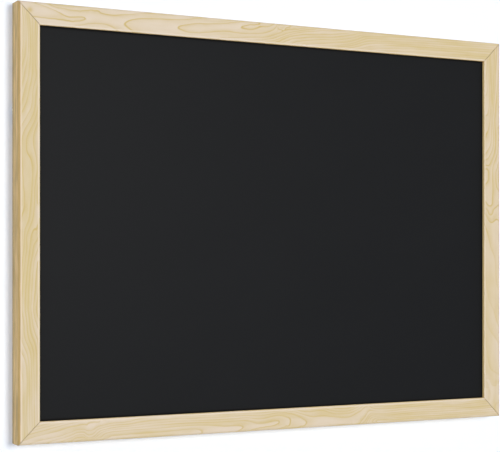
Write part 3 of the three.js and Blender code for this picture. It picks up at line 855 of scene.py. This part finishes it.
# Rubber
RUBBER_BLACK = (0.017, 0.017, 0.018, 1.0)
RUBBER_BLOOM = (0.055, 0.055, 0.054, 1.0)
RUBBER_PIT_MM = (0.33, 0.33, 0.33)
RUBBER_BLOOM_MM = (2.9, 2.9, 2.9)
BLOOM_SHARES = (-0.6, 1.2)
RUBBER_ROUGHNESS = (0.6, 0.85)
PIT_ROUGHNESS = 0.1
RUBBER_RELIEF = 0.04 * MM


def chalk_lacquer():
    """Matt black, with a faint haze of wiped chalk that stops short of the bars, where painted shade
    darkens it.
    """
    material, tree = new_material("chalk_lacquer")
    x, y, z = axes = tree.coordinates()
    grit = tree.noise(axes, LACQUER_GRIT_MM, detail=3.0, roughness=0.6)
    wiped = (x + z * WIPE_LEAN_SHARE, y, z - x * WIPE_RISE_SHARE)
    smear = tree.noise(wiped, WIPE_MM, detail=4.0, roughness=0.55)
    to_side = (WIDTH_MM / 2 - BAR_WIDTH_MM) - x.math("ABSOLUTE")
    to_end = (HEIGHT_MM / 2 - BAR_WIDTH_MM) - z.math("ABSOLUTE")
    # Painted shade beside the bars: the rim is darker than clean lacquer
    rim_shade = (1.0 - to_side.math("MINIMUM", to_end) / RIM_SHADE_MM).clamped()
    black = tree.mix((smear - HAZE_START) * HAZE_GAIN, LACQUER_BLACK, LACQUER_HAZE)
    rough = grit * GRIT_ROUGHNESS + smear * SMEAR_ROUGHNESS + rim_shade * RIM_ROUGHNESS
    tree.surface(
        Base_Color=tree.mix(rim_shade, black, LACQUER_RIM_SHADE), Roughness=rough + LACQUER_ROUGHNESS,
        Normal=tree.bump(grit, LACQUER_RELIEF), Specular_IOR_Level=0.072,
    )
    return material


def hardboard():
    """Brown pressed fibre, marked all over by the screen that it was pressed on."""
    material, tree = new_material("hardboard")
    x, y, z = axes = tree.coordinates()
    turn = 2 * math.pi / SCREEN_PITCH_MM
    screen = (x * turn).math("SINE") * (z * turn).math("SINE")
    fibre = tree.noise(axes, HARDBOARD_FIBRE_MM, detail=5.0, roughness=0.7)
    patch = tree.noise(axes, HARDBOARD_PATCH_MM, detail=3.0)
    pale = fibre * HARDBOARD_FIBRE_SHARE + patch * HARDBOARD_PATCH_SHARE
    pale = pale + screen * HARDBOARD_SCREEN_SHARE - HARDBOARD_DARK_SHARE
    tree.surface(
        Base_Color=tree.mix(pale, HARDBOARD_DARK, HARDBOARD_PALE),
        Roughness=fibre.between(*HARDBOARD_ROUGHNESS),
        Normal=tree.bump(screen * SCREEN_RELIEF_SHARE + fibre, HARDBOARD_RELIEF), Specular_IOR_Level=0.3,
    )
    return material


def softboard():
    """Loose wood fibre, tan with darker shives."""
    material, tree = new_material("softboard")
    axes = tree.coordinates()
    fibre = tree.noise(axes, SOFTBOARD_FIBRE_MM, detail=6.0, roughness=0.75)
    shive = (tree.noise(axes, SHIVE_MM) - SHIVE_START).clamped() * SHIVE_GAIN
    tree.surface(
        Base_Color=tree.mix(fibre.between(*SOFTBOARD_SHARES) - shive, SOFTBOARD_DARK, SOFTBOARD_PALE),
        Roughness=fibre.between(*SOFTBOARD_ROUGHNESS),
        Normal=tree.bump(fibre, SOFTBOARD_RELIEF), Specular_IOR_Level=0.2,
    )
    return material


def plated(name, dark, pale, smoothest, crystal_mm):
    """Plated steel: faint crystals in the plating, drawn scratches and dull patches."""
    material, tree = new_material(name)
    axes = tree.coordinates()
    crystal = tree.cells(axes, crystal_mm)
    scratch = tree.noise(axes, SCRATCH_MM, detail=3.0, roughness=0.7)
    dull = tree.noise(axes, DULL_MM, detail=3.0)
    share = crystal * CRYSTAL_SHARE + scratch * SCRATCH_SHARE + PLATE_PALE_SHARE
    share = share - (dull - NOISE_MIDDLE).clamped() * DULL_SHARE
    rough = scratch * SCRATCH_ROUGHNESS + dull * DULL_ROUGHNESS + crystal * CRYSTAL_ROUGHNESS
    tree.surface(
        Base_Color=tree.mix(share, dark, pale), Metallic=1.0, Roughness=(rough + smoothest).clamped(),
        Normal=tree.bump(scratch, SCRATCH_RELIEF),
    )
    return material


def rubber():
    """Black moulded rubber with a pale bloom and fine pits."""
    material, tree = new_material("rubber")
    axes = tree.coordinates()
    pit = tree.noise(axes, RUBBER_PIT_MM, detail=3.0, roughness=0.6)
    bloom = tree.noise(axes, RUBBER_BLOOM_MM, detail=3.0, roughness=0.6)
    tree.surface(
        Base_Color=tree.mix(bloom.between(*BLOOM_SHARES), RUBBER_BLACK, RUBBER_BLOOM),
        Roughness=bloom.between(*RUBBER_ROUGHNESS) + pit * PIT_ROUGHNESS,
        Normal=tree.bump(pit, RUBBER_RELIEF), Specular_IOR_Level=0.4,
    )
    return material


zinc_steel = plated("zinc_steel", ZINC_DARK, ZINC_PALE, ZINC_SMOOTHEST, ZINC_CRYSTAL_MM)
nickel_steel = plated("nickel_steel", NICKEL_DARK, NICKEL_PALE, NICKEL_SMOOTHEST, NICKEL_CRYSTAL_MM)
pad_rubber = rubber()
for part in frame["nodes"]:
    if part.startswith(("v_nail", "panel_point")):
        dress(part, zinc_steel)
dress("writing_panel", chalk_lacquer())
dress("core_board", softboard())
dress("back_panel", hardboard())


# Hangers and wall pads
#
# Each is modelled once, with its own anchor at the origin, and then copied to its places. A ring's
# anchor is on its pivot line, a strap's where its back meets that line's height, a screw's where its
# head seats, and a pad's where it is glued on.

SEAT_GAP = 0.2 * MM            # between two pieces that touch
OVERRUN = 1 * MM               # how far a cutter stands past what it cuts
MERGE_DISTANCE = 0.001 * MM
NEARLY = 0.9                   # how nearly a normal or an edge points along an axis, to be picked
SHARP = math.radians(40)
SMOOTH = math.radians(30)
QUARTER = math.radians(90)
DISC_SIDES = 32

# Strap
STRAP_WIDTH = 8 * MM
STRAP_THICKNESS = 0.7 * MM
STRAP_LENGTH = 28 * MM
STRAP_END_SHARE = 0.9          # past this share of its length, an edge is at the strap's round end
STRAP_END_RADIUS = 3.96 * MM
STRAP_END_STEPS = 10
STRAP_EDGE = 0.12 * MM
HOLE_DROPS = (16 * MM, 23.5 * MM)
HOLE_RADIUS = 1.7 * MM
CURL_RADIUS = 1.85 * MM        # of its outside, so the pivot line stands this far from the strap's back
CURL_TURN = math.radians(285)
CURL_STEPS = 30

# Ring
WIRE_RADIUS = 0.9 * MM
WIRE_SIDES = 20
WIRE_END_EDGE = 0.2 * MM
BUTT_GAP = 0.4 * MM
RING_HALF_WIDTH = 6.9 * MM
RING_CORNER = 1.6 * MM
RING_CORNER_STEPS = 8
RING_ARM = 4 * MM
RING_BOW_STEPS = 32

# Screw
SCREW_RADIUS = 1.5 * MM
SCREW_LENGTH = 12 * MM
SCREW_TIP = 3 * MM
SCREW_TIP_SHARE = 0.08
SCREW_EDGE = 0.06 * MM
HEAD_RADIUS = 2.8 * MM
HEAD_RIM = 0.7 * MM
HEAD_HEIGHT = 1.8 * MM
DOME_SHARES = (0.12, 0.3, 0.52, 0.76, 1.0)
DOME_SWEEP = math.radians(72)
RECESS_SPAN = 2.8 * MM
RECESS_WIDTH = 0.75 * MM
RECESS_DEPTH = 1.1 * MM
RECESS_FOOT_SHARE = 0.55

# Pad
PAD_SIDES = 48
PAD_EDGE = 0.7 * MM
PAD_EDGE_STEPS = 5
PAD_BORDER = 1 * MM            # from the rounded edge to the groove
PAD_GROOVE = 0.35 * MM
PAD_GROOVE_EDGE = 0.1 * MM
pad_low, pad_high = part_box("wall_pad_top_left")
PAD_RADIUS = (pad_high.x - pad_low.x) / 2
PAD_HEIGHT = pad_high.y - pad_low.y


def begin():
    """Leaves the object mode clean, so that the next operator acts on nothing old."""
    if bpy.context.mode != "OBJECT":
        bpy.ops.object.mode_set(mode="OBJECT")
    bpy.ops.object.select_all(action="DESELECT")


def settle():
    """Puts a new primitive's place, turn and size into its mesh."""
    bpy.ops.object.transform_apply(location=True, rotation=True, scale=True)
    return bpy.context.object


def add_block(middle, sizes, turn=0):
    """A block of these sizes, turned about its own upright through the angle."""
    bpy.ops.mesh.primitive_cube_add(size=1, location=middle, rotation=(0, turn, 0), scale=sizes)
    return settle()


def add_disc(radius, height, middle, sides=DISC_SIDES):
    """A cylinder that lies along y."""
    bpy.ops.mesh.primitive_cylinder_add(
        vertices=sides, radius=radius, depth=height, location=middle, rotation=(QUARTER, 0, 0))
    return settle()


def edit_picked(kind, picked):
    """Enters edit mode. Only faces or edges whose middle and direction pass the test are selected."""
    begin()
    bpy.context.object.select_set(True)
    bpy.ops.object.mode_set(mode="EDIT")
    bpy.ops.mesh.select_mode(type=kind)
    bpy.ops.mesh.select_all(action="DESELECT")
    shape = bmesh.from_edit_mesh(bpy.context.object.data)
    if kind == "FACE":
        for face in shape.faces:
            face.select_set(picked(face.calc_center_median(), face.normal))
    else:
        for edge in shape.edges:
            first, second = (end.co for end in edge.verts)
            edge.select_set(picked((first + second) / 2, (second - first).normalized()))
    bmesh.update_edit_mesh(bpy.context.object.data)


def extrude(move):
    bpy.ops.mesh.extrude_region_move(TRANSFORM_OT_translate={"value": move})


def bend(steps, turn, centre, axis):
    bpy.ops.mesh.spin(steps=steps, angle=turn, center=centre, axis=axis)


def tidy_mesh():
    """Merges doubles, turns every face outwards and leaves edit mode."""
    bpy.ops.mesh.select_all(action="SELECT")
    bpy.ops.mesh.remove_doubles(threshold=MERGE_DISTANCE)
    bpy.ops.mesh.normals_make_consistent(inside=False)
    bpy.ops.object.mode_set(mode="OBJECT")


def soften(piece, width, segments):
    """Rounds every sharp edge of the piece, and shades it smooth between them."""
    rounding = piece.modifiers.new("edges", "BEVEL")
    rounding.width = width
    rounding.segments = segments
    rounding.limit_method = "ANGLE"
    rounding.angle_limit = SHARP
    bpy.ops.object.modifier_apply(modifier=rounding.name)
    bpy.ops.object.shade_smooth_by_angle(angle=SMOOTH)


def cut(piece, cutter):
    """Takes the cutter's shape out of the piece."""
    taken = piece.modifiers.new("cut", "BOOLEAN")
    taken.object = cutter
    taken.solver = "EXACT"
    begin()
    piece.select_set(True)
    bpy.context.view_layer.objects.active = piece
    bpy.ops.object.modifier_apply(modifier=taken.name)
    bpy.data.objects.remove(cutter)


def set_down(model, name, place, body, node, material):
    """Copies a model to its place, with a mesh of its own, and lets it stand for a node of the frame."""
    begin()
    piece = model.copy()
    piece.data = model.data.copy()
    piece.name = name
    piece.data.name = name
    bpy.context.scene.collection.objects.link(piece)
    piece.data.materials.clear()
    piece.data.materials.append(material)
    piece.location = place
    piece.select_set(True)
    bpy.context.view_layer.objects.active = piece
    settle()
    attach(piece, body)
    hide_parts(node)


def bend_ring():
    """A D-ring: wire bent from its butt round both sides. Its pivot line is the x axis."""
    begin()
    straight = RING_HALF_WIDTH - RING_CORNER
    side = RING_ARM - RING_CORNER
    bpy.ops.mesh.primitive_circle_add(
        vertices=WIRE_SIDES, radius=WIRE_RADIUS, location=(BUTT_GAP / 2, 0, 0), rotation=(0, QUARTER, 0))
    ring = settle()
    bpy.ops.object.mode_set(mode="EDIT")
    bpy.ops.mesh.select_all(action="SELECT")
    extrude((straight - BUTT_GAP / 2, 0, 0))
    bend(RING_CORNER_STEPS, -QUARTER, (straight, 0, -RING_CORNER), (0, 1, 0))
    extrude((0, 0, -side))
    bend(RING_BOW_STEPS, -2 * QUARTER, (0, 0, -RING_ARM), (0, 1, 0))
    extrude((0, 0, side))
    bend(RING_CORNER_STEPS, -QUARTER, (-straight, 0, -RING_CORNER), (0, 1, 0))
    extrude((straight - BUTT_GAP / 2, 0, 0))
    bpy.ops.mesh.select_all(action="SELECT")
    bpy.ops.mesh.remove_doubles(threshold=MERGE_DISTANCE)
    bpy.ops.mesh.fill_holes(sides=0)
    tidy_mesh()
    soften(ring, WIRE_END_EDGE, segments=3)
    return ring


def fold_strap():
    """A strap: a plate with a round end and two holes, curled over the ring's pivot line at its top."""
    begin()
    size = (STRAP_WIDTH, STRAP_THICKNESS, STRAP_LENGTH)
    strap = add_block((0, STRAP_THICKNESS / 2, -STRAP_LENGTH / 2), size)
    end = -STRAP_LENGTH * STRAP_END_SHARE
    edit_picked("EDGE", lambda middle, along: middle.z < end and abs(along.y) > NEARLY)
    bpy.ops.mesh.bevel(offset=STRAP_END_RADIUS, segments=STRAP_END_STEPS)
    edit_picked("FACE", lambda middle, normal: normal.z > NEARLY)
    bpy.ops.mesh.delete(type="ONLY_FACE")
    edit_picked("EDGE", lambda middle, along: abs(middle.z) < OVERRUN / 2)
    bend(CURL_STEPS, CURL_TURN, (0, CURL_RADIUS, 0), (1, 0, 0))
    bpy.ops.mesh.edge_face_add()
    tidy_mesh()
    for drop in HOLE_DROPS:
        begin()
        cut(strap, add_disc(HOLE_RADIUS, STRAP_THICKNESS + 2 * OVERRUN, (0, STRAP_THICKNESS / 2, -drop)))
    soften(strap, STRAP_EDGE, segments=2)
    return strap


def turn_screw():
    """A pan head screw with a cross recess. Its head seats at the origin and its tip points to -y."""
    begin()
    screw = add_disc(HEAD_RADIUS, HEAD_RIM, (0, HEAD_RIM / 2, 0))
    edit_picked("FACE", lambda middle, normal: normal.y > NEARLY)
    reach = HEAD_RADIUS
    rise = 0
    for share in DOME_SHARES:
        radius = HEAD_RADIUS * math.cos(share * DOME_SWEEP)
        height = (HEAD_HEIGHT - HEAD_RIM) * math.sin(share * QUARTER)
        bpy.ops.mesh.inset(thickness=reach - radius, depth=0)
        bpy.ops.transform.translate(value=(0, height - rise, 0))
        reach = radius
        rise = height
    edit_picked("FACE", lambda middle, normal: normal.y < -NEARLY)
    bpy.ops.mesh.inset(thickness=HEAD_RADIUS - SCREW_RADIUS, depth=0)
    extrude((0, SCREW_TIP - SCREW_LENGTH, 0))
    extrude((0, -SCREW_TIP, 0))
    bpy.ops.transform.resize(value=(SCREW_TIP_SHARE, 1, SCREW_TIP_SHARE))
    tidy_mesh()
    recess_middle = (0, HEAD_HEIGHT - RECESS_DEPTH / 2 + OVERRUN / 2, 0)
    blade_size = (RECESS_SPAN, RECESS_DEPTH + OVERRUN, RECESS_WIDTH)
    for turn in (0, QUARTER):
        begin()
        blade = add_block(recess_middle, blade_size, turn)
        edit_picked("FACE", lambda middle, normal: normal.y < -NEARLY)
        bpy.ops.transform.resize(value=(RECESS_FOOT_SHARE, 1, RECESS_FOOT_SHARE))
        bpy.ops.object.mode_set(mode="OBJECT")
        cut(screw, blade)
    soften(screw, SCREW_EDGE, segments=2)
    return screw


def mould_pad():
    """A round rubber pad with a groove round its face."""
    begin()
    pad = add_disc(PAD_RADIUS, PAD_HEIGHT, (0, PAD_HEIGHT / 2, 0), PAD_SIDES)
    edit_picked("EDGE", lambda middle, along: middle.y > PAD_HEIGHT - OVERRUN / 2)
    bpy.ops.mesh.bevel(offset=PAD_EDGE, segments=PAD_EDGE_STEPS)
    edit_picked("FACE", lambda middle, normal: normal.y > NEARLY and middle.xz.length < PAD_GROOVE)
    bpy.ops.mesh.inset(thickness=PAD_BORDER, depth=0)
    for sink in (-PAD_GROOVE, 0, PAD_GROOVE):
        bpy.ops.mesh.inset(thickness=PAD_GROOVE, depth=sink)
    tidy_mesh()
    soften(pad, PAD_GROOVE_EDGE, segments=2)
    return pad


def fit_hangers():
    """A ring, a strap and two screws at each of the frame's joints."""
    models = [bend_ring(), fold_strap(), turn_screw()]
    ring, strap, screw = models
    for joint in frame["joints"]:
        side = joint["child"].removesuffix("_ring")
        x, pivot_y, pivot_z = joint["pos_m"]
        strap_back = pivot_y - CURL_RADIUS
        screw_seat = strap_back + STRAP_THICKNESS + SEAT_GAP
        set_down(ring, f"{side}_d_ring", (x, pivot_y, pivot_z), joint["child"],
                 f"hanger_ring_{side}", nickel_steel)
        set_down(strap, f"{side}_strap", (x, strap_back, pivot_z), joint["parent"],
                 f"hanger_strap_{side}", zinc_steel)
        for level, drop in zip(("upper", "lower"), HOLE_DROPS):
            set_down(screw, f"{side}_{level}_screw", (x, screw_seat, pivot_z - drop), joint["parent"],
                     f"hanger_screw_{side}_{level}", zinc_steel)
    for model in models:
        bpy.data.objects.remove(model)


def fit_pads():
    pad = mould_pad()
    for side in ("left", "right"):
        for level in ("top", "bottom"):
            low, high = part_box(f"wall_pad_{level}_{side}")
            middle = (low + high) / 2
            set_down(pad, f"{level}_{side}_pad", (middle.x, low.y, middle.z), "board",
                     f"wall_pad_{level}_{side}", pad_rubber)
    bpy.data.objects.remove(pad)


fit_hangers()
fit_pads()


# Stage

def seen_rays(path):
    """1 for a ray from the camera, off a shiny surface or through a clear one, and otherwise 0."""
    bounced = path.number("Is Glossy Ray") + path.number("Is Transmission Ray")
    return (path.number("Is Camera Ray") + bounced).math("MINIMUM", 1.0)


def studio_white(name, paint, glow, one_sided):
    """White that the lamps shade and that glows a little.

    A one-sided wall can't be seen from behind and casts no shadow.
    """
    material, tree = new_material(name)
    path = tree.add("ShaderNodeLightPath", {}, {})
    matt = tree.add("ShaderNodeBsdfDiffuse", {}, {"Color": paint})
    light = tree.add("ShaderNodeEmission", {}, {"Color": glow, "Strength": seen_rays(path)})
    both = tree.add("ShaderNodeAddShader", {}, [matt.number(0), light.number(0)])
    if one_sided:
        clear = tree.add("ShaderNodeBsdfTransparent", {}, {})
        back = tree.add("ShaderNodeNewGeometry", {}, {}).number("Backfacing")
        open_share = back.math("MAXIMUM", path.number("Is Shadow Ray"))
        both = tree.add("ShaderNodeMixShader", {}, [open_share, both.number(0), clear.number(0)])
    tree.finish(both.number(0))
    return material


def stage_mesh(name, points, faces, material):
    mesh = bpy.data.meshes.new(name)
    mesh.from_pydata(points, [], faces)
    mesh.materials.append(material)
    made = bpy.data.objects.new(name, mesh)
    bpy.context.scene.collection.objects.link(made)


def corners(half_width, low, high):
    return [(-half_width, low), (half_width, low), (half_width, high), (-half_width, high)]


def build_stage():
    hole_x = HALF_WIDTH - WALL_HOLE_INSET
    hole_z = HALF_HEIGHT - WALL_HOLE_INSET
    outline = corners(WALL_REACH, FLOOR_LEVEL, WALL_TOP)
    hole = corners(hole_x, -hole_z, hole_z)
    wall = [(x, 0, z) for x, z in outline + hole]
    count = len(hole)
    edges = [(start, (start + 1) % count) for start in range(count)]
    borders = [(start, end, end + count, start + count) for start, end in edges]
    wall_white = studio_white("wall_white", WALL_PAINT, WALL_GLOW, one_sided=True)
    stage_mesh("wall", wall, borders, wall_white)
    floor = [(x, y, FLOOR_LEVEL) for x, y in corners(FLOOR_REACH, -FLOOR_REACH, FLOOR_REACH)]
    floor_white = studio_white("floor_white", FLOOR_PAINT, FLOOR_GLOW, one_sided=False)
    stage_mesh("floor", floor, [range(len(floor))], floor_white)


def add_lamp(name, place, size, power, colour):
    """A soft square lamp that shines at the middle of the board."""
    lamp = bpy.data.lights.new(name, "AREA")
    lamp.shape = "SQUARE"
    lamp.size = size
    lamp.energy = power
    lamp.color = colour
    made = bpy.data.objects.new(name, lamp)
    made.location = place
    made.rotation_euler = (-made.location).to_track_quat("-Z", "Y").to_euler()
    made.visible_camera = False
    bpy.context.scene.collection.objects.link(made)


def light_room():
    """The world: white where it is seen or mirrored, and a soft light elsewhere."""
    world = bpy.data.worlds.new("studio")
    bpy.context.scene.world = world
    tree = Tree(world)
    path = tree.add("ShaderNodeLightPath", {}, {})
    colour = tree.mix(seen_rays(path), ROOM_LIGHT, WHITE)
    sky = tree.add("ShaderNodeBackground", {}, {"Color": colour, "Strength": 1.0})
    tree.add("ShaderNodeOutputWorld", {}, {"Surface": sky.number(0)})


def place_camera():
    camera = bpy.data.cameras.new("camera")
    camera.lens = LENS_MM
    camera.shift_y = SHIFT_UP
    made = bpy.data.objects.new("camera", camera)
    made.location = EYE
    made.rotation_euler = (UPRIGHT, 0, HEADING)
    bpy.context.scene.collection.objects.link(made)
    bpy.context.scene.camera = made


build_stage()
for lamp_facts in LAMPS:
    add_lamp(*lamp_facts)
light_room()
place_camera()
bpy.context.scene.view_settings.view_transform = "Standard"
